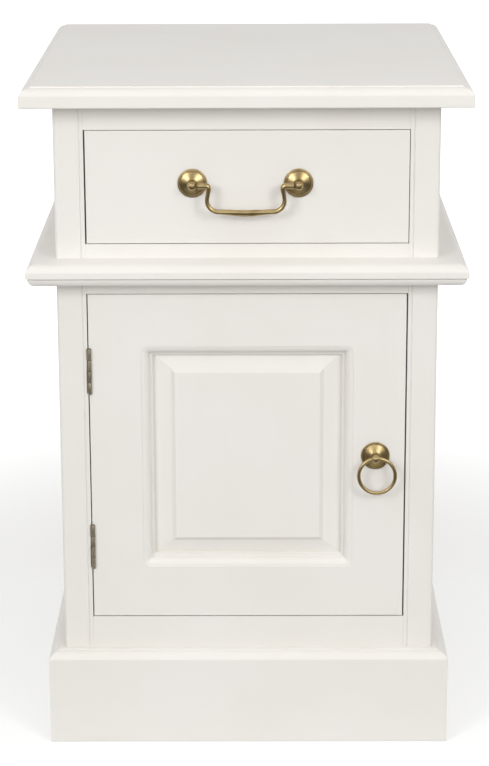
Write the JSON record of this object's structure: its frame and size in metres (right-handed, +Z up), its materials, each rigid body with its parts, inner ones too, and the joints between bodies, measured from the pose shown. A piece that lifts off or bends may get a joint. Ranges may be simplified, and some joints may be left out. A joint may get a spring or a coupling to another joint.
{
  "type": "bedside pot cupboard",
  "caption": "Painted bedside pot cupboard with a drawer on a swinging bail handle, a panelled door with a ring pull, a waist moulding and a plinth.",
  "frame": {"origin": "on the ground under the middle of the top board", "axes": "+X to the right seen from the front, +Y from the front to the back, +Z up"},
  "size_m": [0.4, 0.4, 0.63],
  "materials": {
    "white_paint": "off-white paint, low sheen, brushed on, worn a little at edges",
    "bare_pine": "bare planed softwood",
    "thin_ply": "bare thin plywood",
    "old_brass": "aged brass, brown in the recesses, rubbed bright on the high spots",
    "hinge_metal": "dull tarnished metal, paint at the edges",
    "plain_steel": "plain zinc-plated steel",
    "catch_plastic": "moulded, slightly satin"
  },
  "bodies": {
    "carcass": {"top_board": "white_paint", "front_left_post": "white_paint", "front_right_post": "white_paint", "back_left_post": "white_paint", "back_right_post": "white_paint", "left_side_panel": "white_paint", "right_side_panel": "white_paint", "back_panel": "thin_ply", "top_front_rail": "white_paint", "middle_front_rail": "white_paint", "bottom_front_rail": "white_paint", "top_back_rail": "bare_pine", "bottom_back_rail": "bare_pine", "cupboard_floor": "bare_pine", "floor_battens": "bare_pine", "dust_board": "thin_ply", "left_drawer_runner": "bare_pine", "right_drawer_runner": "bare_pine", "left_drawer_kicker": "bare_pine", "right_drawer_kicker": "bare_pine", "drawer_stops": "bare_pine", "waist_front": "white_paint", "waist_left": "white_paint", "waist_right": "white_paint", "plinth_front": "white_paint", "plinth_left": "white_paint", "plinth_right": "white_paint", "top_fixing_screws": "plain_steel", "back_panel_pins": "plain_steel", "magnet_catch": "catch_plastic", "catch_screws": "plain_steel", "upper_hinge_frame_leaf": "hinge_metal", "lower_hinge_frame_leaf": "hinge_metal", "hinge_pins": "hinge_metal", "hinge_frame_screws": "hinge_metal"},
    "drawer": {"drawer_front": "white_paint", "drawer_left_side": "bare_pine", "drawer_right_side": "bare_pine", "drawer_back": "bare_pine", "drawer_bottom": "thin_ply", "left_handle_rosette": "old_brass", "right_handle_rosette": "old_brass", "left_handle_post": "old_brass", "right_handle_post": "old_brass", "handle_nuts": "old_brass"},
    "bail": {"bail_handle": "old_brass"},
    "door": {"door_hinge_stile": "white_paint", "door_lock_stile": "white_paint", "door_top_rail": "white_paint", "door_bottom_rail": "white_paint", "door_panel": "white_paint", "upper_hinge_door_leaf": "hinge_metal", "lower_hinge_door_leaf": "hinge_metal", "hinge_door_screws": "hinge_metal", "catch_plate": "plain_steel", "catch_plate_screws": "plain_steel", "ring_rosette": "old_brass", "ring_post": "old_brass", "ring_nut": "old_brass"},
    "ring": {"pull_ring": "old_brass"}
  },
  "joints": [
    {"name": "drawer_slide", "type": "slide", "parent": "carcass", "child": "drawer", "axis": [0, -1, 0], "range_m": [0, 0.25]},
    {"name": "bail_swing", "type": "hinge", "parent": "drawer", "child": "bail", "pos_m": [-0.0013, -0.185, 0.5391], "axis": [-1, 0, 0], "range_deg": [-10, 90]},
    {"name": "door_swing", "type": "hinge", "parent": "carcass", "child": "door", "pos_m": [-0.1442, -0.1742, 0.28], "axis": [0, 0, -1], "range_deg": [0, 170]},
    {"name": "ring_swing", "type": "hinge", "parent": "door", "child": "ring", "pos_m": [0.1177, -0.183, 0.2813], "axis": [-1, 0, 0], "range_deg": [-8, 90]}
  ]
}
